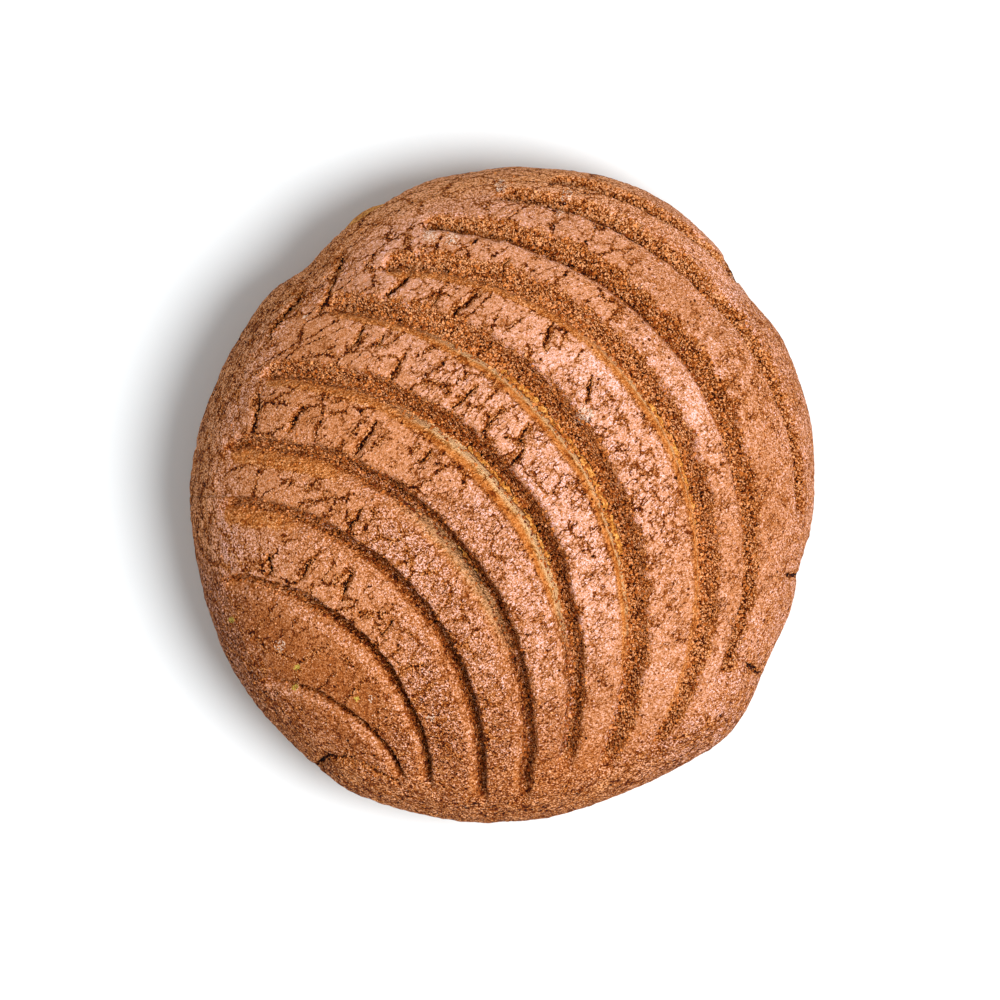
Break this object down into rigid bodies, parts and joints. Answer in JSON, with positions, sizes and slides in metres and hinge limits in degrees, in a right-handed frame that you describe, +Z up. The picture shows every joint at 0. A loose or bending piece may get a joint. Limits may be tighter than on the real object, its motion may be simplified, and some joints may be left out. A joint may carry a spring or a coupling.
{
  "type": "concha",
  "caption": "Round sweet-bread bun under a cracked chocolate sugar-paste topping cut with curved shell grooves.",
  "frame": {"origin": "bottom centre of the bounding box, on the flat base of the bun", "axes": "+Z up; +X to the right and +Y to the top of the picture, so the shell grooves open out from the -X -Y side"},
  "size_m": [0.1096, 0.1147, 0.0459],
  "materials": {
    "bread": "matte",
    "sugar_paste": "matte"
  },
  "bodies": {
    "root": {"bun": "bread", "topping": "sugar_paste"}
  },
  "joints": []
}
